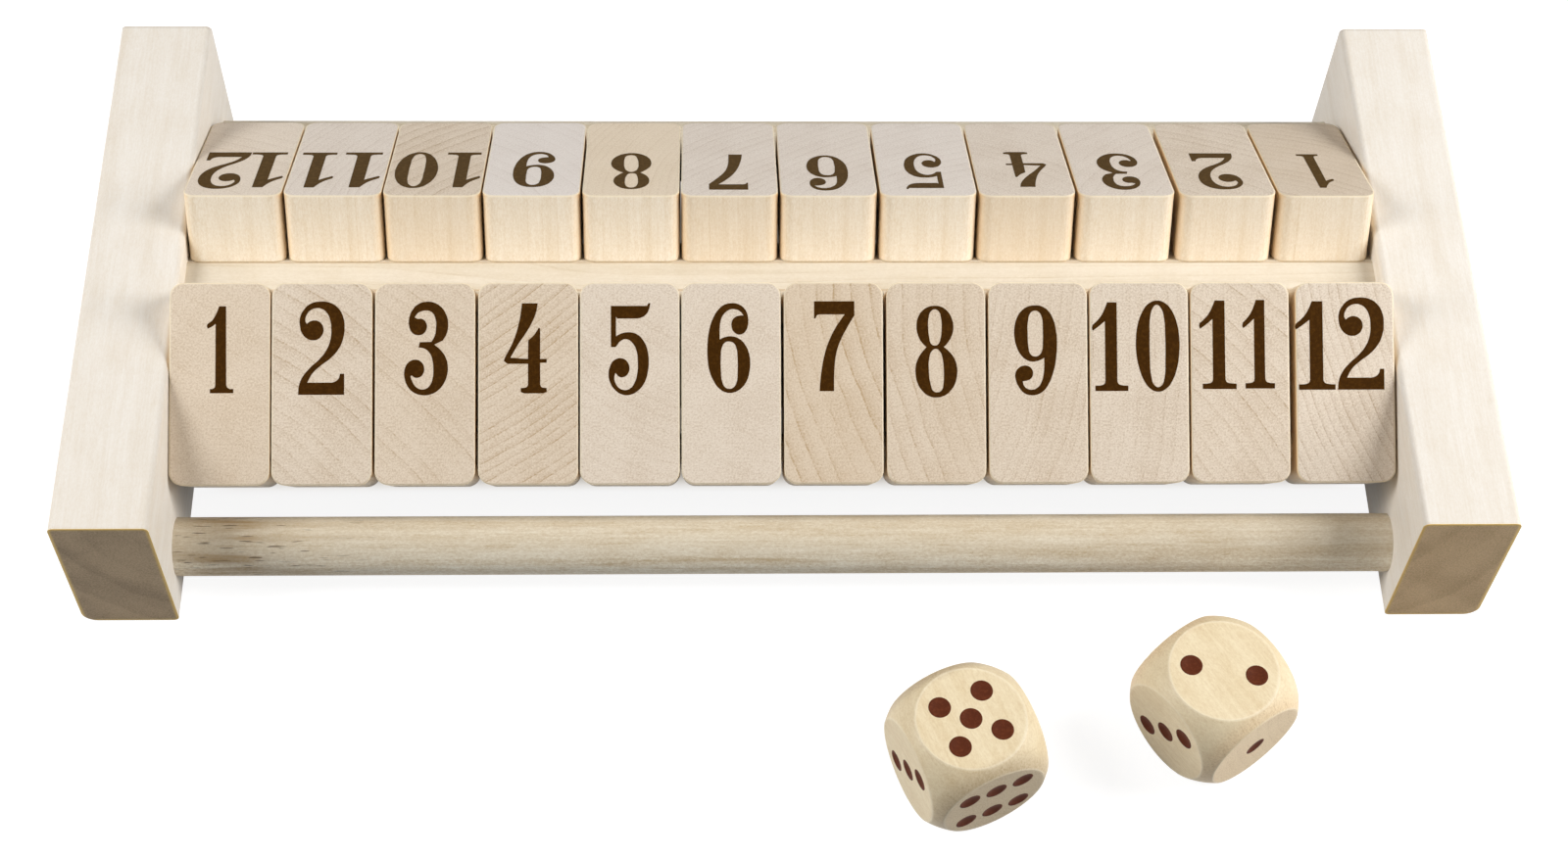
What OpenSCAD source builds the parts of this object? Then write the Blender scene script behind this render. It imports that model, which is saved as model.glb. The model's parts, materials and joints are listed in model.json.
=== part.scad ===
// Shut the box game for two players, made of wood.
// Two rows of twelve number tiles lean against a centre beam between two side
// rails. Each row turns on a hidden axle rod, and a tile that is flipped down
// comes to lie on the round stop dowel in front of its row. Two dice.
// Millimetres. X runs along the rows, Y from front to back, Z up.
// The origin is on the table, under the middle of the centre beam.

/* [Number tiles] */
// Width of a tile, along its row
tile_w = 20; // [16:0.1:26]
// Length of a tile, from its hinge end to its free end
tile_len = 40.7; // [34:0.1:50]
// Thickness of a tile
tile_t = 15; // [12:0.1:18]
// Radius of the four upright corners of a tile
tile_corner_r = 2.75; // [1:0.05:4]
// Slope of a tile that leans against the centre beam, in degrees
lean = 29.6; // [22:0.1:34]
// Distance from a tile's hinge end to the middle of its bore
bore_inset = 7.5; // [6:0.1:9]
// Gap between neighbouring tiles of a row
tile_gap = 0.55; // [0.2:0.05:1.2]
// Gap between the left tile of a row and the left side rail
left_gap = 0.3; // [0.2:0.05:2]
// Gap between the right tile of a row and the right side rail
right_gap = 1.45; // [1.1:0.05:3]
// How far each front tile, 1 to 12, has slid along its axle rod
front_slide = [-0.1, -0.25, -0.2, -0.1, -0.25, -0.4, -0.3, -0.1, 0, 0, 0, 0.9];
// How far each rear tile, 1 to 12, has slid along its axle rod
rear_slide = [0.6, 0.4, -0.2, -0.35, -0.35, -0.5, -0.5, -0.35, -0.35, -0.25, -0.1, 0];

/* [Axle rods] */
// Diameter of the rod that the tiles of a row turn on
axle_d = 6; // [4:0.1:7]
// Play of a tile on its axle rod, on the radius
axle_play = 0.08; // [0.02:0.01:0.1]

/* [Stop dowels] */
// Diameter of the round dowel that a flipped tile lies on
dowel_d = 12; // [9:0.1:15]
// Height of the dowel's underside above the table
dowel_lift = 3.6; // [1:0.05:6]
// Distance from the axle to the dowel, measured along a flipped tile
stop_reach = 14.55; // [13:0.05:20]
// Slope of a flipped tile, rising outward, in degrees
flip_rise = 3.7; // [-6:0.1:8]
// Gap between the dowel and a tile at the end of its swing
stop_gap = 0.1; // [0.05:0.01:0.2]

/* [Centre beam] */
// Width of the centre beam at its foot
beam_w = 24; // [18:0.5:32]
// Width of the flat ridge that shows between the two rows
ridge_w = 7; // [5:0.1:12]
// Gap between the beam's slope and a tile that leans against it
seat_gap = 0.05; // [0.02:0.01:0.2]

/* [Side rails] */
// Thickness of a side rail, along the rows
rail_w = 19.4; // [16:0.1:28]
// Height of a side rail
rail_h = 37.1; // [33:0.1:50]
// Distance from the middle of a stop dowel to the end of the rail
rail_end = 11.75; // [9:0.05:25]
// Radius along the long edges of a side rail, all but the outer lower one
rail_edge_r = 1.2; // [0.3:0.1:4]
// Radius along the outer lower edge of a side rail
foot_edge_r = 3; // [0.3:0.1:5]

/* [Glued joints] */
// Depth of the blind sockets for rods, dowels and pins
socket_depth = 12; // [7:0.5:14]
// Room for glue at the bottom of a socket
socket_room = 0.3; // [0.1:0.05:0.6]
// Room for glue round a rod, dowel or pin, on the radius
glue_play = 0.05; // [0.02:0.01:0.1]
// Diameter of the pins that hold the centre beam to the rails
pin_d = 8; // [5:0.1:9]
// Height of the lower pins above the table
pin_low = 8; // [7:0.1:9]
// Spacing of the lower and the upper pins
pin_step = 12; // [10:0.1:13]

/* [Dice] */
// Side of a die
die_side = 25; // [18:0.1:30]
// How deep the ball that a die is turned down to cuts into its edges
edge_trim = 1.2; // [0.2:0.1:2.5]
// Diameter of a pip
pip_d = 4.4; // [3:0.1:5]
// Depth of a pip
pip_depth = 0.5; // [0.2:0.05:1]
// Distance of the outer pips from the middle of a face, both ways
pip_step = 4.5; // [4:0.05:5]
// Spacing of the pips along the two rows of a six
six_step = 5.65; // [5.2:0.05:6]
// Place of the left die on the table, seen from the middle of the game
left_die_at = [34.1, -98.7];
// Turn of the left die, in degrees
left_die_turn = 23.2; // [0:0.1:90]
// Place of the right die on the table
right_die_at = [83.8, -88.7];
// Turn of the right die, in degrees
right_die_turn = 34.5; // [0:0.1:90]

/* [Hidden] */
$fn = 96;
// Tiles in a row
tile_count = 12;

// Clear width between the side rails
inner_w = tile_count * tile_w + (tile_count - 1) * tile_gap + left_gap + right_gap;
// Middle of a row of tiles
row_mid = (left_gap - right_gap) / 2;
// How deep a rod, dowel or pin reaches into its socket
socket_hold = socket_depth - socket_room;

// Half of a tile's thickness, out to what it rests on
seat_off = tile_t / 2 + seat_gap;
stop_off = tile_t / 2 + stop_gap + dowel_d / 2;
// Length of a tile beyond its axle
tile_reach = tile_len - bore_inset;

// Heights, from the table up: dowel, axle, ridge of the beam
dowel_z = dowel_lift + dowel_d / 2;
axle_z = dowel_z + stop_off * cos(flip_rise) - stop_reach * sin(flip_rise);
beam_h = axle_z + tile_reach * sin(lean) - seat_off * cos(lean);
// Distances from the middle of the game, outward: axle, dowel, end of the rail
axle_y = ridge_w / 2 + tile_reach * cos(lean) + seat_off * sin(lean);
dowel_y = axle_y + stop_reach * cos(flip_rise) + stop_off * sin(flip_rise);
rail_len = 2 * (dowel_y + rail_end);
// Height where the beam's upright sides meet its slopes
shoulder_z = beam_h - (beam_w - ridge_w) / 2 * tan(lean);

// Ball that the edges and corners of a die are turned down to
die_ball_r = die_side / sqrt(2) - edge_trim;
// Ball that a pip is cut with
pip_ball_r = (pip_d * pip_d / 4 + pip_depth * pip_depth) / (2 * pip_depth);

echo(rail_len = rail_len, inner_w = inner_w, game_w = inner_w + 2 * rail_w);
echo(axle_y = axle_y, axle_z = axle_z, dowel_y = dowel_y, dowel_z = dowel_z);
echo(beam_h = beam_h, shoulder_z = shoulder_z, swing = 180 - lean - flip_rise);

// Middle of tile n of the front row; the rear row counts the other way
function row_x(n) = (n - (tile_count + 1) / 2) * (tile_w + tile_gap);

// Rectangle with four corners rounded to r, or its lower left one to foot_r
module rounded_outline(w, h, r, foot_r = 0) {
    lower = foot_r > 0 ? foot_r : r;
    polygon([
        [lower - w / 2, -h / 2], [w / 2 - r, -h / 2],
        [w / 2, r - h / 2], [w / 2, h / 2 - r],
        [w / 2 - r, h / 2], [r - w / 2, h / 2],
        [-w / 2, h / 2 - r], [-w / 2, lower - h / 2]
    ]);
    translate([lower - w / 2, lower - h / 2]) circle(r = lower);
    for (at = [[w / 2 - r, r - h / 2], [w / 2 - r, h / 2 - r], [r - w / 2, h / 2 - r]])
        translate(at) circle(r = r);
}

// Round bar along X, centred at a height and a distance from the middle
module bar_x(y, z, r, len) {
    translate([0, y, z]) rotate([0, 90, 0]) cylinder(r = r, h = len, center = true);
}

// Blind socket in a rail whose inner face is at x = 0, on its -X side
module socket(y, z, d) {
    translate([-socket_depth, y, z]) rotate([0, 90, 0])
        cylinder(d = d + 2 * glue_play, h = socket_depth + 1);
}

// Left rail with its inner face at x = 0; the right one is its mirror image
module rail() {
    difference() {
        translate([-rail_w / 2, 0, rail_h / 2]) rotate([90, 0, 0])
            linear_extrude(rail_len, center = true)
                rounded_outline(rail_w, rail_h, rail_edge_r, foot_edge_r);
        for (side = [-1, 1]) {
            socket(side * axle_y, axle_z, axle_d);
            socket(side * dowel_y, dowel_z, dowel_d);
        }
        for (z = [pin_low, pin_low + pin_step]) socket(0, z, pin_d);
    }
}

module left_rail() {
    color("AntiqueWhite") translate([-inner_w / 2, 0, 0]) rail();
}

module right_rail() {
    color("AntiqueWhite") translate([inner_w / 2, 0, 0]) mirror([1, 0, 0]) rail();
}

// Beam with a flat ridge and a slope to each side that a row leans against
module centre_beam() {
    color("Wheat") difference() {
        rotate([90, 0, 90]) linear_extrude(inner_w, center = true)
            polygon([
                [-beam_w / 2, 0], [beam_w / 2, 0],
                [beam_w / 2, shoulder_z], [ridge_w / 2, beam_h],
                [-ridge_w / 2, beam_h], [-beam_w / 2, shoulder_z]
            ]);
        for (end = [-1, 1], z = [pin_low, pin_low + pin_step])
            translate([end * inner_w / 2, 0, 0])
                bar_x(0, z, pin_d / 2 + glue_play, 2 * socket_depth);
    }
}

// Four glued pins, half in the beam and half in the rails
module beam_pins() {
    color("BurlyWood")
        for (end = [-1, 1], z = [pin_low, pin_low + pin_step])
            translate([end * inner_w / 2, 0, 0]) bar_x(0, z, pin_d / 2, 2 * socket_hold);
}

module front_axle() {
    color("Tan") bar_x(-axle_y, axle_z, axle_d / 2, inner_w + 2 * socket_hold);
}

module rear_axle() {
    color("Tan") bar_x(axle_y, axle_z, axle_d / 2, inner_w + 2 * socket_hold);
}

module front_dowel() {
    color("PaleGoldenrod") bar_x(-dowel_y, dowel_z, dowel_d / 2, inner_w + 2 * socket_hold);
}

module rear_dowel() {
    color("PaleGoldenrod") bar_x(dowel_y, dowel_z, dowel_d / 2, inner_w + 2 * socket_hold);
}

// Tile with its bore at the origin, lying level along +Y, number face up
module tile() {
    difference() {
        translate([0, tile_len / 2 - bore_inset, -tile_t / 2])
            linear_extrude(tile_t) rounded_outline(tile_w, tile_len, tile_corner_r);
        bar_x(0, 0, axle_d / 2 + axle_play, tile_w + 2);
    }
}

module front_tile(n) {
    color("Bisque") translate([row_mid + row_x(n) + front_slide[n - 1], -axle_y, axle_z])
        rotate([lean, 0, 0]) tile();
}

module rear_tile(n) {
    color("Bisque") translate([row_mid - row_x(n) + rear_slide[n - 1], axle_y, axle_z])
        rotate([lean, 0, 180]) tile();
}

// Places of the pips on a face, from its middle
function pips(n) =
    n == 1 ? [[0, 0]] :
    n == 2 ? [[-pip_step, pip_step], [pip_step, -pip_step]] :
    n == 3 ? concat(pips(2), pips(1)) :
    n == 4 ? [for (x = [-1, 1], y = [-1, 1]) [x * pip_step, y * pip_step]] :
    n == 5 ? concat(pips(4), pips(1)) :
    [for (x = [-1, 0, 1], y = [-1, 1]) [x * six_step, y * pip_step]];

// Pips of value n, cut into the face that a turn brings to the top
module cut_pips(n, turn) {
    rotate(turn)
        for (p = pips(n))
            translate([p[0], p[1], die_side / 2 + pip_ball_r - pip_depth])
                sphere(r = pip_ball_r);
}

// Cube turned down to a ball, about its middle: 5 on top, 6 to the front, 3 to the left
module die() {
    difference() {
        intersection() {
            cube(die_side, center = true);
            sphere(r = die_ball_r);
        }
        cut_pips(5, [0, 0, 0]);
        cut_pips(2, [180, 0, 0]);
        cut_pips(6, [90, 0, 0]);
        cut_pips(1, [-90, 0, 0]);
        cut_pips(3, [0, -90, 0]);
        cut_pips(4, [0, 90, 0]);
    }
}

module left_die() {
    color("Moccasin") translate([left_die_at[0], left_die_at[1], die_side / 2])
        rotate([0, 0, left_die_turn]) die();
}

module right_die() {
    color("Moccasin") translate([right_die_at[0], right_die_at[1], die_side / 2])
        rotate([180, 0, right_die_turn]) die();
}

left_rail();
right_rail();
centre_beam();
beam_pins();
front_axle();
rear_axle();
front_dowel();
rear_dowel();
for (n = [1 : tile_count]) {
    front_tile(n);
    rear_tile(n);
}
left_die();
right_die();
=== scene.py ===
"""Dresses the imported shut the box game: wood finishes, numerals, pips, table, light and camera."""

import json
import logging
import math
from dataclasses import dataclass, field, replace
from enum import Enum
from typing import Any, Iterable, Sequence

import bmesh
import bpy
from mathutils import Euler, Matrix, Vector


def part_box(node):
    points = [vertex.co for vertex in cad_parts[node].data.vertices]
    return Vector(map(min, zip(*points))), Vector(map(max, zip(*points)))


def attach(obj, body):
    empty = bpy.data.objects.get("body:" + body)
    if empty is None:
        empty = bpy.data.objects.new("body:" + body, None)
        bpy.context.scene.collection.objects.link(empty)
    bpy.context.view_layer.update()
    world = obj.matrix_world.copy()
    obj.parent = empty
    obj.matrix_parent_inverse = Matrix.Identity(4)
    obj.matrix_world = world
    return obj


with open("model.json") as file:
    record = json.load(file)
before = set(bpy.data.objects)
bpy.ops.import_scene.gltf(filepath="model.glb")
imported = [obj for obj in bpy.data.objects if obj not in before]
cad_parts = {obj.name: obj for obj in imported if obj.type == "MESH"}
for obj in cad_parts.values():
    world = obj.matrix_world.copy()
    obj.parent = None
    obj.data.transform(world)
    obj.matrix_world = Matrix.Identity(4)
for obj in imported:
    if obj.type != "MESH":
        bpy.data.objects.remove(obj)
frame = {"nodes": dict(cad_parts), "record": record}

LOG = logging.getLogger("shut_the_box")
MM = 0.001
PHOTO_SIZE = (1600, 876)
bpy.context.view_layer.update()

Color = tuple[float, float, float]


def srgb(red: int, green: int, blue: int) -> Color:
    """Turns a colour as a screen shows it into the linear values that shaders take.

    Args:
        red: Red, 0 to 255.
        green: Green, 0 to 255.
        blue: Blue, 0 to 255.

    Returns:
        The three linear values, 0 to 1.
    """

    def linear(value: int) -> float:
        """Undoes the screen's curve for one channel."""
        part = value / 255
        return part / 12.92 if part <= 0.04045 else ((part + 0.055) / 1.055) ** 2.4

    return linear(red), linear(green), linear(blue)


class Row(Enum):
    """The two rows of tiles, each read from its own player's side."""

    FRONT = "front"
    REAR = "rear"


class Fibre(Enum):
    """The way the fibres of a piece run, as the turn that brings local Z onto them."""

    ALONG_X = (0.0, 90.0, 0.0)
    ALONG_Y = (-90.0, 0.0, 0.0)
    ALONG_Z = (0.0, 0.0, 0.0)


# --------------------------------------------------------------------------- shader arithmetic


@dataclass
class Socket:
    """An output socket that takes part in arithmetic on numbers."""

    graph: "Graph"
    link: bpy.types.NodeSocket

    def math(self, operation: str, *others: "Socket | float") -> "Socket":
        """Adds one Math node with this socket as its first value.

        Args:
            operation: The Math node's operation.
            others: Its further values, as sockets or numbers.

        Returns:
            The result's socket.
        """
        return self.graph.add("ShaderNodeMath", {"operation": operation}, self, *others)

    def __add__(self, other: "Socket | float") -> "Socket":
        """Adds."""
        return self.math("ADD", other)

    __radd__ = __add__

    def __mul__(self, other: "Socket | float") -> "Socket":
        """Multiplies."""
        return self.math("MULTIPLY", other)

    __rmul__ = __mul__

    def __sub__(self, other: "Socket | float") -> "Socket":
        """Subtracts."""
        return self.math("SUBTRACT", other)

    def __rsub__(self, other: float) -> "Socket":
        """Subtracts this socket from a number."""
        return self * -1.0 + other

    def __truediv__(self, other: "Socket | float") -> "Socket":
        """Divides."""
        return self.math("DIVIDE", other)

    def __pow__(self, other: "Socket | float") -> "Socket":
        """Raises to a power."""
        return self.math("POWER", other)

    def __abs__(self) -> "Socket":
        """Drops the sign."""
        return self.math("ABSOLUTE")

    def fract(self) -> "Socket":
        """Keeps what is past the whole number."""
        return self.math("FRACT")

    def step(self, low: float, high: float) -> "Socket":
        """Rises smoothly from 0 at low to 1 at high.

        Args:
            low: Where the rise starts.
            high: Where it ends; below low, the step falls.

        Returns:
            The stepped value's socket.
        """
        flip = high < low
        edges = (high, low) if flip else (low, high)
        rise = self.graph.add(
            "ShaderNodeMapRange",
            {"interpolation_type": "SMOOTHSTEP"},
            self,
            *edges,
            1.0 if flip else 0.0,
            0.0 if flip else 1.0,
        )
        return rise


class Graph:
    """The node graph of one material, built socket by socket."""

    def __init__(self, name: str) -> None:
        """Starts an empty material.

        Args:
            name: The material's name.
        """
        self.material = bpy.data.materials.new(name)
        self.material.use_nodes = True
        self.tree = self.material.node_tree
        self.tree.nodes.clear()

    def node(self, kind: str, settings: dict[str, Any], inputs: dict[Any, Any]) -> bpy.types.Node:
        """Adds a node, sets it up, and fills its sockets.

        Args:
            kind: The node's type.
            settings: Properties of the node, set before its sockets are filled.
            inputs: Socket name or number to a value, a Socket or a raw socket.

        Returns:
            The node.
        """
        made = self.tree.nodes.new(kind)
        for key, value in settings.items():
            setattr(made, key, value)
        for key, value in inputs.items():
            source = value.link if isinstance(value, Socket) else value
            if isinstance(source, bpy.types.NodeSocket):
                self.tree.links.new(source, made.inputs[key])
            elif isinstance(source, tuple) and len(source) == 3 and made.inputs[key].type == "RGBA":
                made.inputs[key].default_value = (*source, 1.0)
            else:
                made.inputs[key].default_value = source
        return made

    def add(self, kind: str, settings: dict[str, Any], *values: Any) -> Socket:
        """Adds a node whose sockets are filled in order, and gives its first output."""
        made = self.node(kind, settings, dict(enumerate(values)))
        return Socket(self, made.outputs[0])

    def mix(self, share: Socket | float, low: Any, high: Any) -> Socket:
        """Blends two colours.

        Args:
            share: 0 gives low and 1 gives high.
            low: A colour or its socket.
            high: A colour or its socket.

        Returns:
            The blended colour's socket.
        """
        made = self.node(
            "ShaderNodeMix", {"data_type": "RGBA", "clamp_factor": True}, {0: share, 6: low, 7: high}
        )
        return Socket(self, made.outputs[2])

    def vector(self, operation: str, first: Any, second: Any) -> Socket:
        """Adds a Vector Math node and gives its vector."""
        return self.add("ShaderNodeVectorMath", {"operation": operation}, first, second)

    def length(self, vector: Socket) -> Socket:
        """Gives the length of a vector."""
        made = self.node("ShaderNodeVectorMath", {"operation": "LENGTH"}, {0: vector})
        return Socket(self, made.outputs["Value"])

    def noise(self, where: Socket, scale: float, detail: float = 2.0, rough: float = 0.5) -> Socket:
        """Gives smooth noise around 0.5.

        Args:
            where: The coordinates.
            scale: Lumps per unit of the coordinates.
            detail: Octaves of finer lumps.
            rough: How strong the finer lumps are.

        Returns:
            The noise value's socket.
        """
        made = self.node(
            "ShaderNodeTexNoise",
            {"noise_dimensions": "3D"},
            {"Vector": where, "Scale": scale, "Detail": detail, "Roughness": rough},
        )
        return Socket(self, made.outputs[0])

    def axes(self, where: Socket) -> tuple[Socket, Socket, Socket]:
        """Splits coordinates into three numbers."""
        made = self.node("ShaderNodeSeparateXYZ", {}, {0: where})
        return tuple(Socket(self, out) for out in made.outputs)

    def join(self, x: Any, y: Any, z: Any) -> Socket:
        """Joins three numbers into coordinates."""
        return self.add("ShaderNodeCombineXYZ", {}, x, y, z)

    def place(self, centre: Vector, turn: Sequence[float]) -> Socket:
        """Gives coordinates in millimetres from a centre, in turned axes.

        Args:
            centre: The centre in metres, in the frame of the CAD.
            turn: Angles about X, Y and Z in degrees that give the local axes.

        Returns:
            The coordinates' socket.
        """
        coords = self.tree.nodes.new("ShaderNodeTexCoord")
        made = self.node(
            "ShaderNodeMapping",
            {"vector_type": "TEXTURE"},
            {
                "Vector": coords.outputs["Object"],
                "Location": tuple(centre),
                "Rotation": tuple(math.radians(a) for a in turn),
                "Scale": (MM, MM, MM),
            },
        )
        return Socket(self, made.outputs[0])

    def near_edge(
        self, spot: tuple[Socket, Socket, Socket], half: Sequence[float], corner: float, width: float
    ) -> Socket:
        """Marks the strips along the edges of a block with four rounded corners.

        Args:
            spot: X, Y and Z from the block's middle, with Z square to its rounded outline.
            half: Half of its size along X, Y and Z.
            corner: Radius of the four corners of its outline.
            width: Width of the strips on each side of an edge.

        Returns:
            1 right on an edge, falling to 0 at the strip's inner side.
        """
        x, y, z = spot
        qx, qy = abs(x) - (half[0] - corner), abs(y) - (half[1] - corner)
        beyond = self.length(self.join(qx.math("MAXIMUM", 0.0), qy.math("MAXIMUM", 0.0), 0.0))
        outline = beyond + qx.math("MAXIMUM", qy).math("MINIMUM", 0.0) - corner
        return outline.math("MINIMUM", abs(z) - half[2]).step(-width, 0.0)

    def surface(
        self, color: Any, roughness: Any, height_mm: Socket | None = None, shine: float = 0.35
    ) -> bpy.types.Material:
        """Ends the graph in a satin surface.

        Args:
            color: The colour or its socket.
            roughness: The roughness or its socket.
            height_mm: Relief in millimetres, or None for a smooth surface.
            shine: How strongly the surface mirrors; 0.5 is a full clear coat.

        Returns:
            The finished material.
        """
        inputs: dict[str, Any] = {"Base Color": color, "Roughness": roughness, "Specular IOR Level": shine}
        if height_mm is not None:
            bump = self.node("ShaderNodeBump", {}, {"Strength": 1.0, "Distance": MM, "Height": height_mm})
            inputs["Normal"] = bump.outputs[0]
        shader = self.node("ShaderNodeBsdfPrincipled", {}, inputs)
        self.node("ShaderNodeOutputMaterial", {}, {"Surface": shader.outputs[0]})
        return self.material


# --------------------------------------------------------------------------- wood


@dataclass(frozen=True)
class Rings:
    """How a piece was cut from the log: where its growth rings lie and how they show."""

    toward: float = 90.0
    radius: float = 80.0
    spacing: float = 3.0
    strength: float = 0.4
    phase: float = 0.0
    wave: float = 0.7
    lines: float = 1.0

    def centre(self) -> tuple[float, float]:
        """Gives the middle of the rings in the plane across the fibres, in millimetres."""
        angle = math.radians(self.toward)
        return self.radius * math.cos(angle), self.radius * math.sin(angle)


@dataclass(frozen=True)
class Wood:
    """A pale hardwood, sanded and given a thin clear coat."""

    name: str
    side_pale: Color
    side_deep: Color
    end_pale: Color
    end_deep: Color
    streaks: float = 0.3
    fibres: float = 0.3
    speckled: float = 0.55
    clouded: float = 0.16

    def late_wood(self, graph: Graph, where: Socket, rings: Rings) -> tuple[Socket, Socket]:
        """Draws the dark late wood of the growth rings through the whole solid.

        Args:
            graph: The material's graph.
            where: Coordinates in millimetres, with Z along the fibres.
            rings: Where the rings lie.

        Returns:
            The late wood, 0 to 1, and the distance from the middle of the rings.
        """
        x, y, z = graph.axes(where)
        broad = graph.noise(graph.join(x * 0.04, y * 0.04, z * 0.008 + rings.phase * 5.0), 1.0, 1.0)
        ripple = graph.noise(graph.join(x * 0.25, y * 0.25, z * 0.02), 1.0, 2.0)
        patchy = graph.noise(graph.join(x * 0.55, y * 0.55, z * 0.05), 1.0, 2.0, 0.6).step(0.32, 0.66)
        cx, cy = rings.centre()
        reach = graph.length(graph.join(x - cx, y - cy, 0.0))
        reach = reach + (broad - 0.5) * (rings.spacing * rings.wave * 2.0) + (ripple - 0.5) * (rings.spacing * 0.2)
        turn = (reach / rings.spacing + rings.phase).fract()
        band = turn.step(0.25, 0.92) * turn.step(1.0, 0.88)
        line = turn.step(0.84, 0.95) * turn.step(1.0, 0.96)
        hair = abs((reach * (4.7 / rings.spacing)).fract() - 0.5).step(0.28, 0.5)
        year = graph.noise(graph.join(reach * (0.6 / rings.spacing), rings.phase * 9.0, 0.0), 1.0, 1.0)
        grit = graph.noise(graph.join(x * 1.9, y * 1.9, z * 0.4), 1.0, 2.0, 0.8).step(0.3, 0.62)
        fine = line * (patchy * 0.42 + 0.1) * (grit * 0.7 + 0.45) * rings.lines
        late = (band * 0.25 + fine * 1.8) * (year.step(0.3, 0.65) * 0.75 + 0.25)
        return late + hair * patchy * grit * (0.16 * rings.lines), reach

    def colours(self, graph: Graph, where: Socket, rings: Rings, end: Socket | float) -> tuple[Socket, Socket]:
        """Paints the wood, with its end grain where the mask says.

        Args:
            graph: The material's graph.
            where: Coordinates in millimetres, with Z along the fibres.
            rings: Where the rings lie.
            end: 1 where the fibres are cut across, 0 on the sides.

        Returns:
            The colour, and a relief in millimetres.
        """
        x, y, z = graph.axes(where)
        late, reach = self.late_wood(graph, where, rings)
        fibres = graph.noise(graph.join(x * 2.2, y * 2.2, z * 0.09), 1.0, 3.0, 0.65)
        streaks = graph.noise(graph.join(x * 0.4, y * 0.4, z * 0.014), 1.0, 2.0)
        pores = graph.noise(graph.join(x * 2.7, y * 2.7, z * 0.5), 1.0, 2.0, 0.75)
        cloud = graph.noise(graph.join(x * 0.1, y * 0.1, z * 0.02), 1.0, 2.0)
        speckle = graph.noise(graph.join(x * 2.6, y * 2.6, z * 1.2), 1.0, 3.0, 0.85)
        mottle = graph.noise(graph.join(x * 0.2, y * 0.2, z * 0.09), 1.0, 3.0, 0.6)
        cx, cy = rings.centre()
        bearing = (y - cy).math("ARCTAN2", x - cx) * (rings.radius * 2.2)
        rays = graph.noise(graph.join(bearing, reach * 0.12, 0.0), 1.0, 1.0, 0.5).step(0.5, 0.72)
        side_share = (
            late * (0.5 * rings.strength)
            + (fibres - 0.3) * self.fibres
            + streaks.step(0.35, 0.75) * self.streaks
            + (speckle - 0.45) * self.speckled
            + mottle.step(0.4, 0.7) * 0.16
        )
        side = graph.mix(side_share, self.side_pale, self.side_deep)
        end_share = (
            late * rings.strength + (pores - 0.3) * 0.7 + (speckle - 0.5) * 2.5
            + rays * 0.07 + cloud.step(0.35, 0.75) * self.clouded
        )
        cut = graph.mix(end_share, self.end_pale, self.end_deep)
        relief = fibres * 0.008 + pores * 0.012 - late * 0.002
        return graph.mix(end, side, cut), relief


TILE_WOOD = Wood(
    "tile_wood",
    side_pale=srgb(250, 240, 223),
    side_deep=srgb(222, 200, 164),
    end_pale=srgb(228, 214, 196),
    end_deep=srgb(176, 149, 117),
    streaks=0.12,
    fibres=0.5,
    speckled=1.5,
)
RAIL_WOOD = Wood(
    "rail_wood",
    side_pale=srgb(235, 229, 220),
    side_deep=srgb(214, 200, 179),
    end_pale=srgb(230, 202, 163),
    end_deep=srgb(138, 112, 81),
    streaks=0.16,
    fibres=0.6,
    speckled=0.9,
    clouded=0.35,
)
BEAM_WOOD = Wood(
    "beam_wood",
    side_pale=srgb(221, 211, 194),
    side_deep=srgb(196, 179, 150),
    end_pale=srgb(205, 185, 150),
    end_deep=srgb(165, 135, 98),
    speckled=0.9,
)
DOWEL_WOOD = Wood(
    "dowel_wood",
    side_pale=srgb(255, 249, 232),
    side_deep=srgb(200, 178, 142),
    end_pale=srgb(190, 170, 135),
    end_deep=srgb(150, 125, 90),
    streaks=0.3,
    fibres=0.9,
    speckled=2.0,
)
DIE_WOOD = Wood(
    "die_wood",
    side_pale=srgb(238, 222, 188),
    side_deep=srgb(204, 176, 130),
    end_pale=srgb(216, 197, 163),
    end_deep=srgb(176, 149, 108),
    streaks=0.14,
    fibres=0.4,
    speckled=1.3,
)


@dataclass(frozen=True)
class Paint:
    """A thin paint on wood, with the grain faintly through it."""

    name: str
    color: Color
    worn: Color
    gloss: float = 0.6
    shine: float = 0.03

    def material(self) -> bpy.types.Material:
        """Builds the paint."""
        graph = Graph(self.name)
        where = graph.place(Vector((0, 0, 0)), (0, 0, 0))
        mottle = graph.noise(where, 1.3, 3.0, 0.65)
        fine = graph.noise(where, 4.5, 2.0, 0.6)
        share = mottle.step(0.42, 0.75) * 0.7 + fine.step(0.5, 0.8) * 0.5
        color = graph.mix(share, self.color, self.worn)
        return graph.surface(color, fine * 0.2 + (self.gloss - 0.1), fine * 0.006, self.shine)


# The rear numerals are a lighter brown than the front ones: a painted sheen on the same paint, which is seen at a low
# angle.
NUMERAL_PAINTS = {
    Row.FRONT: Paint("front_numeral_brown", srgb(60, 35, 6), srgb(84, 52, 14)),
    Row.REAR: Paint("rear_numeral_brown_with_painted_sheen", srgb(76, 56, 27), srgb(98, 74, 40)),
}
PIP_PAINT = Paint("pip_brown", srgb(88, 43, 26), srgb(108, 56, 35), 0.55, 0.05)


# --------------------------------------------------------------------------- numerals


@dataclass(frozen=True)
class Glyph:
    """A numeral in hundredths of its height: an outline and the holes in it.

    Each line lists points as kind, x and y. Kind c is a corner and s is smooth.
    """

    outline: str
    holes: tuple[str, ...] = ()

    def contours(self) -> Iterable[list[tuple[str, float, float]]]:
        """Gives the outline and the holes as lists of kind, x and y."""
        for line in (self.outline, *self.holes):
            words = line.split()
            yield [(words[i], float(words[i + 1]), float(words[i + 2])) for i in range(0, len(words), 3)]


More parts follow.
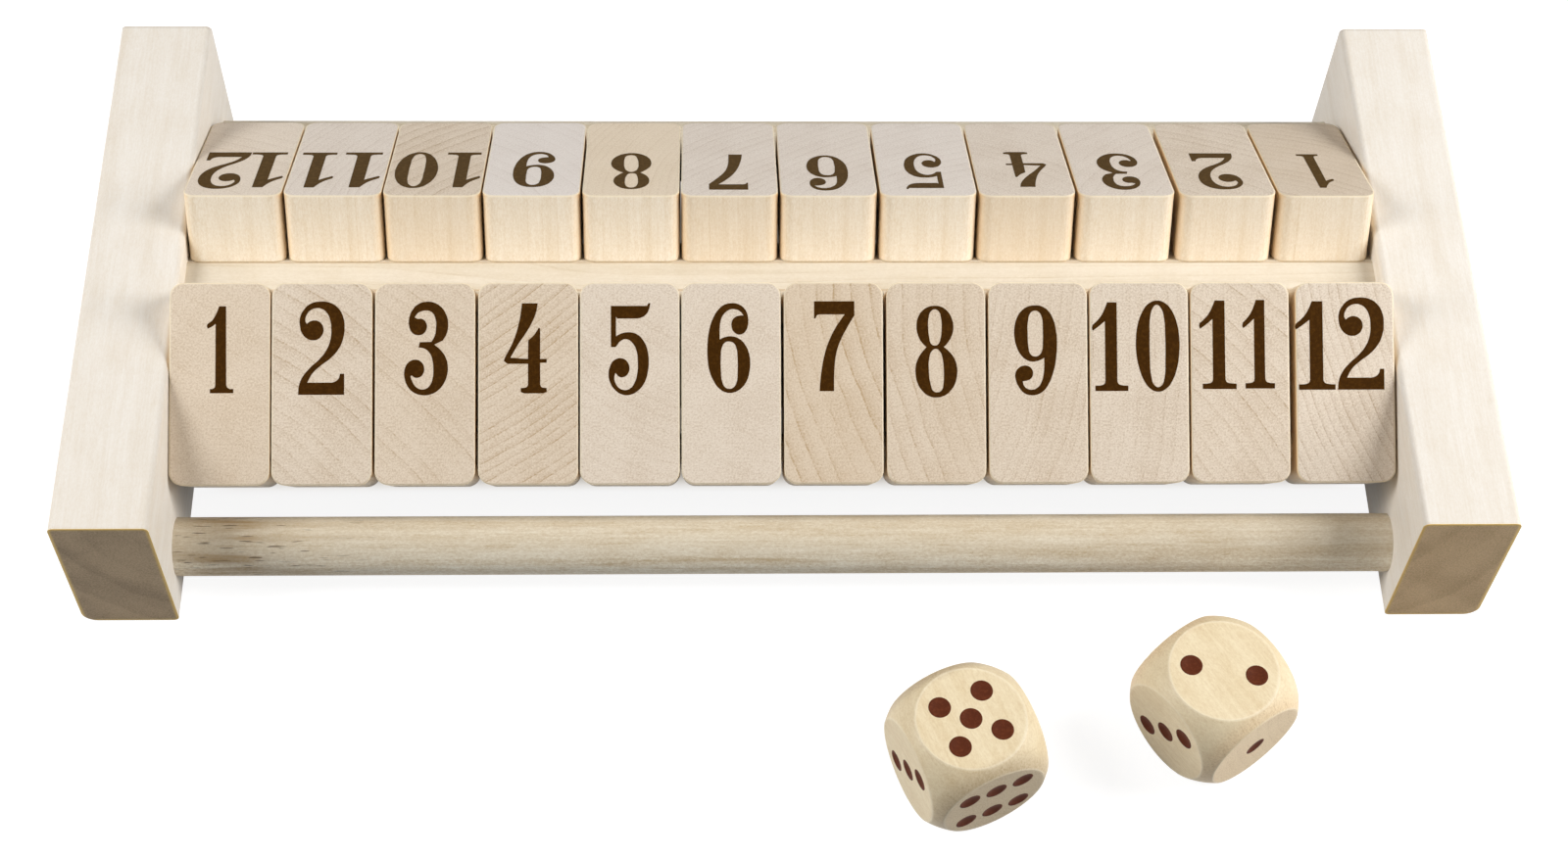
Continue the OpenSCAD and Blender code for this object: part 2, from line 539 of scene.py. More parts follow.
GLYPHS: dict[str, Glyph] = {
    "0": Glyph(
        "s 0 102.5 s 9 99.5 s 16.5 91 s 21.8 78 s 24.5 62 s 24.5 44 s 22 27 s 17 13 s 10 3.5 s 0.5 -0.5"
        " s -8.5 3 s -15.5 12 s -20.8 26 s -24 43 s -24.3 60 s -22 76 s -17 89.5 s -9.8 99",
        (
            "s -0.5 97.6 s 4.5 93.5 s 7.6 83 s 8.8 62 s 8.8 36 s 7.5 15 s 4.5 7 s 0.3 4.8"
            " s -4.3 7.4 s -7.3 16.5 s -8.8 38 s -8.8 63 s -8 84 s -5 94",
        ),
    ),
    "1": Glyph(
        "c -4.6 100 c 6.8 100 c 7 11 s 8.5 8 s 13 6.4 c 20 6 c 20 0 c -19.5 0 c -19.5 6 s -12.5 6.4"
        " s -8.6 8 c -7.4 11 c -7.4 79 s -13.5 74 c -21.8 68 s -23 71 c -22.3 74.5 s -16 80 s -10.5 87 s -7 94"
    ),
    "1s": Glyph(
        "c -2.2 98.5 c 5.4 98.5 c 6 11 s 7.2 8 s 9.5 6.4 c 14 6 c 14 1.5 c -12 1.5 c -12 6 s -8.3 6.6"
        " s -6.6 8.2 c -6 11 c -6 79 s -9 76.5 c -14.6 73.5 s -15.6 76 c -15 78.6 s -9.6 83 s -6 89 s -3.4 95"
    ),
    "2": Glyph(
        "c -26 -1 c 25 -1 c 25 22.5 c 20.5 22.5 s 18.5 16.5 s 13 13 s 6 12.6 c -16 12.6 s -10.5 22.5 s -1 31.5"
        " s 9.5 39.5 s 18 49 s 23.2 60 s 25.2 73 s 23.8 85.5 s 18.5 95.5 s 9.5 101.7 s -2 103.2 s -12.5 100.7"
        " s -20 94 s -24.2 85 s -24.2 75.5 s -21.8 67.5 s -16.5 61.8 s -10 59.8 s -3.3 61.6 s 1 67 s 1.8 73.5"
        " s -1.2 79.3 s -6.5 82 s -12.5 81.2 c -16.8 78.2 s -18.4 82 s -17 88 s -12.7 93.3 s -6 95.8 s 0.3 94.8"
        " s 5.6 90.5 s 9.3 82.5 s 10.6 72 s 9.5 60 s 5 48.5 s -2.5 38.8 s -13 29 s -20.8 19.5 s -25 9.5"
    ),
    "3": Glyph(
        "s 3 103 s -6.5 100.6 s -13.5 94 s -17.2 85 s -17.2 75 s -13.8 68 s -7.5 65.4 s -1.2 67.4 s 2.2 73"
        " s 1.4 79.5 s -3 83.6 s -8.2 83.8 c -11.4 85.4 s -7.6 90.2 s -2 92.6 s 4.2 92.8 s 9 90 s 12 83.5 s 12.6 74"
        " s 11.2 65 c 7.5 58 c -5.5 57.6 c -6.8 51.6 s 0 50.3 s 5.2 45.8 s 8.5 38 s 9.6 28 s 9 17.5 s 6 9.5 s 1 5.3"
        " s -5 5 s -10.8 8.6 c -15 16.4 s -15.2 20 s -11 18 s -5.6 18.4 s -1.6 22.5 s -0.6 29 s -4 35.6 s -11 38"
        " s -18 35 s -22.2 27.5 s -22.4 18 s -18.8 8 s -12 1.2 s -3 -1.6 s 6 -1 s 14.3 3.2 s 21 11 s 25 21.3"
        " s 25.5 32 s 22.8 41.5 s 17.5 49 c 10.6 54.8 c 20 59.4 s 24.3 67 s 26 78 s 23.6 89 s 17.5 97.6 s 10 102"
    ),
    "4": Glyph(
        "c -5.5 101 c 12 101 s 10.2 91 s 5.6 79.5 s -1.6 67 s -9.8 55 c -18.4 40 c 1.2 38.6 c 1.6 59.5 s 7.6 65"
        " c 13.2 73.6 c 14.7 72.6 c 14.7 38.6 c 22 38.6 c 22 34.4 c 14.7 34.4 c 14.8 10 s 16 7.4 c 22 6 c 22 1.6"
        " c 18 0.2 c -3 0.2 c -6.8 1.6 c -6.8 6 s 0 7.4 c 1.3 10 c 1.3 33.2 c -21.8 33.2 c -25.8 36.6"
        " s -23.4 42.4 s -18.4 51.6 s -13.2 63.5 s -9.6 76 s -7 89"
    ),
    "5": Glyph(
        "c -20 98 c 20.3 98 c 21.8 101 c 24 101 s 22.6 94.4 s 18.8 88 s 13 84.6 c 8 83.8 c -13 83.8 c -14.4 85.6"
        " c -14.4 63.8 s -8.6 67 s 0 68.4 s 9 66.2 s 16 59.3 s 20.5 49.3 s 22.1 38 s 21.2 24.5 s 17.4 12 s 10 2.8"
        " s 1 -1.8 s -8 -1.2 s -16 4.3 s -21 12.3 s -22.6 21.5 s -21 30.5 s -16.3 37.2 s -9.2 39.4 s -2.9 36.6"
        " s 0.5 30 s -0.5 23 s -5.2 18.4 s -10.8 18.6 c -15 23 s -16.4 17.6 s -14.8 11 s -10.8 5.8 s -4.8 3.6"
        " s 1.8 5.7 s 6.6 12.5 s 9.5 23 s 10 36 s 8.4 48 s 4 56.4 s -2.4 60.6 s -8.4 59.2 c -14.8 51.8 c -20 51.8"
    ),
    "6": Glyph(
        "s 0.5 101 s 8.3 99.8 s 14.5 95.3 s 18.2 88.5 s 19.2 80 s 17.6 72 s 14 67.2 s 9 65.6 s 3.6 68.2 s 0.7 74"
        " s 1 80.6 s 4.6 85.2 s 9.6 87 c 14 87.2 s 10 91.8 s 4.5 94.2 s -1.5 93.6 s -7.2 89.6 s -11 83.4 s -12.6 74"
        " c -12.8 60.2 s -6.5 62.9 s 1 63.7 s 8.3 61.4 s 15 55.2 s 19.5 46 s 21.2 34.5 s 20 22 s 16.4 11.8 s 10 4.4"
        " s 2 0.6 s -6 0.8 s -13.3 5 s -19.5 13.3 s -24.2 25 s -26.4 40 s -26.4 55.5 s -24.6 70 s -20.6 83 s -14.8 93"
        " s -8 98.9",
        (
            "s -2.2 57.9 s 3 56 s 6.2 49.5 s 7.2 39 s 7.2 23 s 5.8 11.4 s 2.4 6.2 s -2.4 4.8 s -6.9 6.6 s -10 12.3"
            " s -11.4 24 s -11.6 41 s -9.9 52.5 s -6.6 56.9",
        ),
    ),
    "7": Glyph(
        "c -20.5 103 c 24.6 103 c 24.6 87 s 21.2 81.5 s 16.8 74 s 11.6 64.5 s 6.6 53 s 3.5 41 s 2 27 s 1.5 14"
        " c 1.5 2 c -14.6 2 s -13.6 15 s -11.6 30 s -8.4 45 s -3.4 59.5 s 3 72.5 s 8.6 81 c 13.8 88.2"
        " c -14.6 88.2 s -17.4 87 c -19 83.6 c -20.5 83.6"
    ),
    "8": Glyph(
        "s 1 97.8 s 9 96.3 s 15.8 91 s 20.2 83 s 21.8 74 s 20 64.2 s 16 57 c 11 51.2 s 17 46.2 s 22.6 38.6 s 25.5 29.5"
        " s 25.6 19.5 s 22.8 9 s 17 0.8 s 9.8 -4 s 2 -5.4 s -5.2 -4.1 s -12.2 0.6 s -18 9 s -20.7 19 s -20.7 30"
        " s -17.7 39 s -13 46.2 c -8.6 51.2 s -14.4 57.4 s -18.4 66 s -19.6 75 s -17.9 84.5 s -13.2 92 s -6.8 96.4",
        (
            "s 1.2 93.8 s 5.5 91.4 s 8 84 s 8.6 72 s 7.2 60.4 s 4.7 54.6 s 0.8 53 s -3 54.6 s -5.4 62 s -6.5 73"
            " s -6 84.4 s -3.4 91.4",
            "s 2 49.3 s 6.6 46.2 s 9.6 38 s 10.8 25 s 10.4 11 s 8.4 3 s 3.8 0.4 s -1 1.8 s -4 9 s -6 24 s -5.6 38.5"
            " s -2.6 46.6",
        ),
    ),
    "9": Glyph(
        "s 0 98.2 s 8.2 96.7 s 15 91.6 s 20 83 s 23.3 70 s 24.3 55 s 23.1 38 s 20 23 s 15 10.3 s 9 2 s 2 -2.2"
        " s -6 -3 s -13 -0.6 s -18.6 5.6 s -22 13 s -22.8 21 s -19.6 27.2 s -14 30.1 s -8.2 29.6 s -4 26 s -3 20.5"
        " s -5.4 15.6 s -9.8 13.4 c -14.6 12.6 s -13.3 7.8 s -9.4 4.2 s -3.5 3.2 s 2.4 5.8 s 6.9 12.6 s 9.5 25"
        " c 9.8 39 s 5.8 36.8 s 1.4 35.3 s -4 34.8 s -10 36.6 s -16.2 42 s -21 51 s -23.6 62.4 s -23.3 74.4 s -20.2 85"
        " s -14.7 92.7 s -7.7 97",
        (
            "s 0 92.2 s 4.7 90 s 7.6 84 s 8.4 72 s 8.4 57 s 7 46 s 3.3 41.5 s -1.4 40.6 s -5.5 43 s -7.9 51"
            " s -8.7 65 s -8.2 80 s -5.2 89.6",
        ),
    ),
}


@dataclass(frozen=True)
class Figure:
    """One glyph of a number: which, where its middle goes and how wide it is drawn."""

    glyph: str
    across: float = 0.0
    up: float = 0.0
    width: float = 1.0


FRONT_NUMBERS: dict[int, tuple[Figure, ...]] = {
    1: (Figure("1s", 2.3, -0.5),),
    **{n: (Figure(str(n)),) for n in range(2, 10)},
    10: (Figure("1", -29.0, 1.5, 0.94), Figure("0", 23.3, 1.0)),
    11: (Figure("1", -20.0, 3.5, 0.97), Figure("1", 26.0, 4.0, 0.84)),
    12: (Figure("1", -24.5, 2.5, 1.05), Figure("2", 26.2, 3.5, 1.03)),
}
REAR_NUMBERS: dict[int, tuple[Figure, ...]] = {
    **FRONT_NUMBERS,
    11: (Figure("1", -23.0, 3.5, 1.1), Figure("1", 29.0, 4.0, 1.02)),
    10: (Figure("1", -29.0, 0.5), Figure("0", 23.3)),
    12: (Figure("1", -20.5, 2.0, 1.05), Figure("2", 27.0, 3.0, 0.98)),
}


@dataclass
class Numerals:
    """The painted number of one tile, a slab as thin as a coat of paint."""

    height: float = 18.0
    top_margin: float = 4.35
    coat: float = 0.03
    sunk: float = 0.04
    stretch: float = 1.0
    numbers: dict[int, tuple[Figure, ...]] = field(default_factory=lambda: FRONT_NUMBERS)

    def mesh(self, name: str, number: int, rise: float, aside: float) -> bpy.types.Mesh:
        """Draws a number as filled curves and makes them a closed mesh.

        Args:
            name: The piece's name.
            number: The number to draw.
            rise: How far it is printed above its usual place, in hundredths of its height.
            aside: How far it is printed to the right of its usual place, in the same unit.

        Returns:
            A mesh in millimetres, about the middle of the tile's end.
        """
        curve = bpy.data.curves.new(name, "CURVE")
        curve.dimensions = "2D"
        curve.fill_mode = "BOTH"
        curve.resolution_u = 7
        curve.extrude = (self.coat + self.sunk) / 2
        unit = self.height / 100
        for figure in self.numbers[number]:
            for contour in GLYPHS[figure.glyph].contours():
                spline = curve.splines.new("BEZIER")
                spline.bezier_points.add(len(contour) - 1)
                spline.use_cyclic_u = True
                for point, (kind, x, y) in zip(spline.bezier_points, contour):
                    across = x * figure.width + figure.across + aside
                    at = (across * unit, ((y + figure.up) * self.stretch + rise) * unit, 0.0)
                    point.co = at
                    handle = "AUTO" if kind == "s" else "VECTOR"
                    point.handle_left_type = point.handle_right_type = handle
        drawn = bpy.data.objects.new(name, curve)
        bpy.context.scene.collection.objects.link(drawn)
        made = bpy.data.meshes.new_from_object(drawn.evaluated_get(bpy.context.evaluated_depsgraph_get()))
        bpy.data.objects.remove(drawn)
        bpy.data.curves.remove(curve)
        return made


# --------------------------------------------------------------------------- the game


@dataclass
class Piece:
    """Helpers that turn meshes into pieces of the scene."""

    @staticmethod
    def from_bmesh(name: str, shape: bmesh.types.BMesh, material: bpy.types.Material) -> bpy.types.Object:
        """Makes an object at the origin from a shape, with its faces turned outward.

        Args:
            name: The piece's name.
            shape: The shape in metres, freed afterwards.
            material: Its finish.

        Returns:
            The new object.
        """
        bmesh.ops.remove_doubles(shape, verts=shape.verts, dist=1e-7)
        bmesh.ops.recalc_face_normals(shape, faces=shape.faces)
        mesh = bpy.data.meshes.new(name)
        shape.to_mesh(mesh)
        shape.free()
        mesh.materials.append(material)
        made = bpy.data.objects.new(name, mesh)
        bpy.context.scene.collection.objects.link(made)
        return made

    @staticmethod
    def dress(node: str, material: bpy.types.Material) -> None:
        """Gives a CAD node its finish."""
        part = frame["nodes"][node]
        part.data.materials.clear()
        part.data.materials.append(material)


@dataclass
class TileRow:
    """One row of number tiles: their wood and their numbers."""

    row: Row
    cuts: tuple[Rings, ...]
    tints: dict[int, tuple[float, Color]]
    honey: tuple[float, ...]
    rise: tuple[float, ...]
    aside: tuple[float, ...]
    lean: float = 29.6
    width: float = 20.0
    length: float = 40.7
    thickness: float = 15.0
    corner_r: float = 2.75
    bore_inset: float = 7.5
    numerals: Numerals = field(default_factory=Numerals)

    def turn(self) -> tuple[float, float, float]:
        """Gives the turn of a tile at rest, in degrees."""
        return (self.lean, 0.0, 0.0 if self.row is Row.FRONT else 180.0)

    def placing(self, number: int) -> Matrix:
        """Gives the place of a tile's middle: X across, Y to the free end, Z out of the number face."""
        name = f"{self.row.value}_tile_{number}_flip"
        joint = next(j for j in frame["record"]["behaviour"]["joints"] if j["name"] == name)
        turned = Euler(tuple(math.radians(a) for a in self.turn())).to_matrix().to_4x4()
        middle = Vector((0, (self.length / 2 - self.bore_inset) * MM, 0))
        return Matrix.Translation(joint["pos_m"]) @ turned @ Matrix.Translation(middle)

    def wood(self, number: int) -> bpy.types.Material:
        """Builds the wood of one tile, cut so that its number face is end grain.

        Args:
            number: The tile's number.

        Returns:
            The tile's own material.
        """
        graph = Graph(f"{self.row.value}_tile_{number}_wood")
        where = graph.place(self.placing(number).translation, self.turn())
        x, y, z = graph.axes(where)
        half = (self.width / 2, self.length / 2, self.thickness / 2)
        end = abs(z).step(half[2] - 0.12, half[2] - 0.04)
        color, relief = TILE_WOOD.colours(graph, where, self.cuts[number - 1], end)
        share, tone = self.tints.get(number, (0.0, TILE_WOOD.end_pale))
        color = graph.mix(end * share, color, tone)
        color = graph.mix((1.0 - end) * self.honey[number - 1], color, srgb(206, 170, 116))
        # The flanks and the foot are warmed toward amber. Part of this is a warm tone of the sides, and part is a
        # painted glow of light bounced between the tiles, strongest in a band just under the number face.
        flank_glow = abs(x).step(half[0] - 1.5, half[0] - 0.02)
        foot_glow = y.step(1.5 - half[1], 0.02 - half[1])
        glow_band = z.step(half[2] - 2.5, half[2] - 0.3) * 0.6
        share = (flank_glow * 0.3).math("MAXIMUM", flank_glow.math("MAXIMUM", foot_glow) * glow_band) * (1.0 - end)
        color = graph.mix(share, color, srgb(226, 180, 106))
        # The pale line along the tile's edges is a painted highlight; the same strip also rounds the relief.
        edge = graph.near_edge((x, y, z), half, self.corner_r, 0.42)
        color = graph.mix(edge * 0.8, color, srgb(248, 232, 200))
        return graph.surface(color, relief * 6.0 + 0.46, relief - edge * edge * 0.16)

    def build(self) -> None:
        """Dresses the twelve tiles and paints their numbers."""
        paint = NUMERAL_PAINTS[self.row].material()
        for number in range(1, 13):
            node = f"{self.row.value}_tile_{number}"
            Piece.dress(node, self.wood(number))
            name = f"{self.row.value}_numeral_{number}"
            mesh = self.numerals.mesh(name, number, self.rise[number - 1], self.aside[number - 1])
            shape = bmesh.new()
            shape.from_mesh(mesh)
            bpy.data.meshes.remove(mesh)
            base = self.length / 2 - self.numerals.top_margin - self.numerals.height
            level = self.thickness / 2 + (self.numerals.coat - self.numerals.sunk) / 2
            place = self.placing(number) @ Matrix.Scale(MM, 4) @ Matrix.Translation((0, base, level))
            bmesh.ops.transform(shape, matrix=place, verts=shape.verts)
            made = Piece.from_bmesh(name, shape, paint)
            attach(made, f"{self.row.value}_flap_{number}")
            LOG.info("%s: %d faces", name, len(made.data.polygons))


@dataclass
class Timber:
    """The fixed woodwork: rails, beam, dowels, axles and pins."""

    rail_edge_r: float = 1.2
    ridge_w: float = 7.0
    rail_rings: dict[str, Rings] = field(
        default_factory=lambda: {
            "left_rail": Rings(322.0, 40.0, 7.5, 1.1, 0.35, 0.45, 0.03),
            "right_rail": Rings(212.0, 44.0, 8.0, 1.0, 0.6, 0.45, 0.03),
        }
    )
    sawn_tint: dict[str, Color] = field(
        default_factory=lambda: {"left_rail": srgb(112, 94, 64), "right_rail": srgb(210, 174, 116)}
    )

    def rail(self, node: str) -> None:
        """Dresses a side rail, pale along its length and dark on its sawn ends."""
        low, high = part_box(node)
        middle = (Vector(low) + Vector(high)) / 2
        half = (Vector(high) - Vector(low)) / 2 / MM
        graph = Graph(f"{node}_wood")
        where = graph.place(middle, Fibre.ALONG_Y.value)
        spot = graph.axes(where)
        end = abs(spot[2]).step(half.y - 0.12, half.y - 0.03)
        color, relief = RAIL_WOOD.colours(graph, where, self.rail_rings[node], end)
        color = graph.mix(end * 0.4, color, self.sawn_tint[node])
        # The golden line round the rim of the near sawn end is a painted highlight; the edge strip also rounds the
        # relief.
        edge = graph.near_edge(spot, (half.x, half.z, half.y), self.rail_edge_r, 0.9)
        near_end_highlight = end * spot[2].step(0.0, -1.0)
        color = graph.mix(edge * near_end_highlight, color, srgb(255, 216, 128))
        Piece.dress(node, graph.surface(color, relief * 6.0 + 0.5, relief - edge * edge * 0.15))

    def beam(self) -> None:
        """Dresses the centre beam, whose rings run out along its flat ridge."""
        low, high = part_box("centre_beam")
        graph = Graph("centre_beam_wood")
        where = graph.place((Vector(low) + Vector(high)) / 2, Fibre.ALONG_X.value)
        rings = Rings(80.0, 60.0, 2.6, 1.1, 0.1, 3.0)
        color, relief = BEAM_WOOD.colours(graph, where, rings, 0.0)
        _, across, _ = graph.axes(where)
        # The brown line along both edges of the flat ridge, where the tiles rest, is painted shade.
        arris_shade = abs(abs(across) - self.ridge_w / 2).step(0.35, 0.05)
        color = graph.mix(arris_shade * 0.45, color, srgb(176, 142, 92))
        Piece.dress("centre_beam", graph.surface(color, relief * 6.0 + 0.5, relief))

    def rod(self, node: str, toward: float) -> None:
        """Dresses a dowel or an axle rod.

        Args:
            node: The rod.
            toward: The way to the middle of its growth rings, in degrees.
        """
        low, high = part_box(node)
        graph = Graph(f"{node}_wood")
        where = graph.place((Vector(low) + Vector(high)) / 2, Fibre.ALONG_X.value)
        color, relief = DOWEL_WOOD.colours(graph, where, Rings(toward, 30.0, 2.2, 0.6, 0.3), 0.0)
        x, y, z = graph.axes(where)
        stain = graph.noise(graph.join(x * 0.5, y * 0.5, z * 0.035), 1.0, 2.0, 0.6).step(0.42, 0.68)
        share = z.step(-70.0, -112.0) if node == "front_dowel" else stain * 0.15
        color = graph.mix(share * (stain * 0.3 + 0.08), color, srgb(150, 120, 74))
        # The upper side of the rod is mixed toward a duller tone: painted shade on its top.
        color = graph.mix(x.step(-1.5, -5.5) * 0.5, color, srgb(184, 168, 142))
        if node == "front_dowel":
            blot = z.step(-104.0, -110.0) * z.step(-122.0, -115.0) * stain
            color = graph.mix(blot * 0.5, color, srgb(158, 120, 60))
        flecks = graph.noise(graph.join(x * 2.4, y * 2.4, z * 0.2), 1.0, 1.0).step(0.65, 0.73)
        color = graph.mix(flecks * share * 0.8, color, srgb(84, 64, 40))
        Piece.dress(node, graph.surface(color, relief * 6.0 + 0.5, relief * 1.3))

    def rods(self) -> None:
        """Dresses the stop dowels, the axle rods and the pins."""
        for node, toward in (("front_dowel", 250.0), ("rear_dowel", 100.0), ("front_axle", 40.0), ("rear_axle", 10.0)):
            self.rod(node, toward)
        graph = Graph("pin_wood")
        where = graph.place(Vector((0, 0, 0)), Fibre.ALONG_X.value)
        color, relief = DOWEL_WOOD.colours(graph, where, Rings(60.0, 25.0, 2.0, 0.5, 0.0), 0.0)
        Piece.dress("beam_pins", graph.surface(color, 0.6, relief))

    def build(self) -> None:
        """Dresses all the fixed woodwork."""
        for node in self.rail_rings:
            self.rail(node)
        self.beam()
        self.rods()
        LOG.info("fixed woodwork dressed")


@dataclass
class Die:
    """A wooden die with painted pips."""

    node: str
    turn: float
    upside_down: bool
    rings: Rings
    wood: Wood = DIE_WOOD
    side: float = 25.0
    pip_d: float = 4.4
    pip_depth: float = 0.5
    pip_step: float = 4.5
    six_step: float = 5.65
    edge_trim: float = 1.2
    paint_mm: float = 0.09

    def faces(self) -> list[tuple[int, tuple[float, float, float]]]:
        """Gives each value with the turn, in degrees, that brings its face to the top."""
        return [(5, (0, 0, 0)), (2, (180, 0, 0)), (6, (90, 0, 0)), (1, (-90, 0, 0)), (3, (0, -90, 0)), (4, (0, 90, 0))]

    def spots(self, value: int) -> list[tuple[float, float]]:
        """Gives the places of a value's pips, in millimetres from the middle of the face."""
        step = self.pip_step
        across = [(-step, step), (step, -step)]
        corners = [(x, y) for x in (-step, step) for y in (-step, step)]
        table = {1: [(0, 0)], 2: across, 3: across + [(0, 0)], 4: corners, 5: corners + [(0, 0)]}
        return table.get(value, [(x, y) for x in (-self.six_step, 0, self.six_step) for y in (-step, step)])

    def placing(self) -> Matrix:
        """Gives the place of the die's middle and its turn."""
        low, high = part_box(self.node)
        middle = (Vector(low) + Vector(high)) / 2
        flip = math.pi if self.upside_down else 0.0
        return Matrix.Translation(middle) @ Euler((flip, 0.0, math.radians(self.turn))).to_matrix().to_4x4()

    def pips(self, material: bpy.types.Material) -> bpy.types.Object:
        """Paints the pips: each is a thin bowl that lines its hollow, spun from its profile.

        Args:
            material: The paint.

        Returns:
            All the pips of the die as one piece.
        """
        ball = (self.pip_d**2 / 4 + self.pip_depth**2) / (2 * self.pip_depth)
        rim = math.asin(self.pip_d / 2 / ball) * 0.998
        shape = bmesh.new()
        steps = 6
        for value, turn in self.faces():
            face = Euler(tuple(math.radians(a) for a in turn)).to_matrix().to_4x4()
            for across, up in self.spots(value):
                at = Vector((across, up, self.side / 2 + ball - self.pip_depth))
                path = []
                for k in range(steps + 1):
                    turned = rim * k / steps
                    path.append(Vector((math.sin(turned), 0, -math.cos(turned))) * (ball + self.paint_mm * 0.3))
                for k in range(steps, -1, -1):
                    turned = rim * k / steps
                    coat = self.paint_mm * (1 - (k / steps) ** 6)
                    path.append(Vector((math.sin(turned), 0, -math.cos(turned))) * (ball - coat))
                verts = [shape.verts.new(at + p) for p in path]
                edges = [shape.edges.new((a, b)) for a, b in zip(verts, verts[1:])]
                bmesh.ops.spin(
                    shape, geom=verts + edges, cent=at, axis=(0, 0, 1), dvec=(0, 0, 0),
                    angle=math.tau, steps=28, use_merge=True, use_duplicate=False,
                )
                fresh = [v for v in shape.verts if not v.tag]
                bmesh.ops.transform(shape, matrix=face, verts=fresh)
                for vert in fresh:
                    vert.tag = True
        place = self.placing() @ Matrix.Scale(MM, 4)
        bmesh.ops.transform(shape, matrix=place, verts=shape.verts)
        made = Piece.from_bmesh(f"{self.node}_pips", shape, material)
        for polygon in made.data.polygons:
            polygon.use_smooth = True
        return made

    def build(self) -> None:
        """Dresses the die and paints its pips."""
        graph = Graph(f"{self.node}_wood")
        place = self.placing()
        angles = tuple(math.degrees(a) for a in place.to_euler())
        where = graph.place(place.translation, angles)
        x, y, z = graph.axes(where)
        turned = graph.join(z, x, y)
        half = self.side / 2
        end = abs(y).step(half - 3.5, half - 0.1)
        color, relief = self.wood.colours(graph, turned, self.rings, end)
        outer = abs(x).math("MAXIMUM", abs(y)).math("MAXIMUM", abs(z))
        ball = self.side / math.sqrt(2) - self.edge_trim
        # The pale line round the rim where each flat face meets the rounded corners is a painted highlight.
        rim = outer.step(half - 0.3, half - 0.02) * graph.length(where).step(ball - 0.32, ball - 0.02)
        color = graph.mix(rim * 0.3, color, srgb(252, 242, 218))
        Piece.dress(self.node, graph.surface(color, relief * 6.0 + 0.42, relief - rim * 0.05))
        made = self.pips(PIP_PAINT.material())
        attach(made, f"{self.node}_loose")
        LOG.info("%s: %d faces of paint", self.node, len(made.data.polygons))


# --------------------------------------------------------------------------- studio


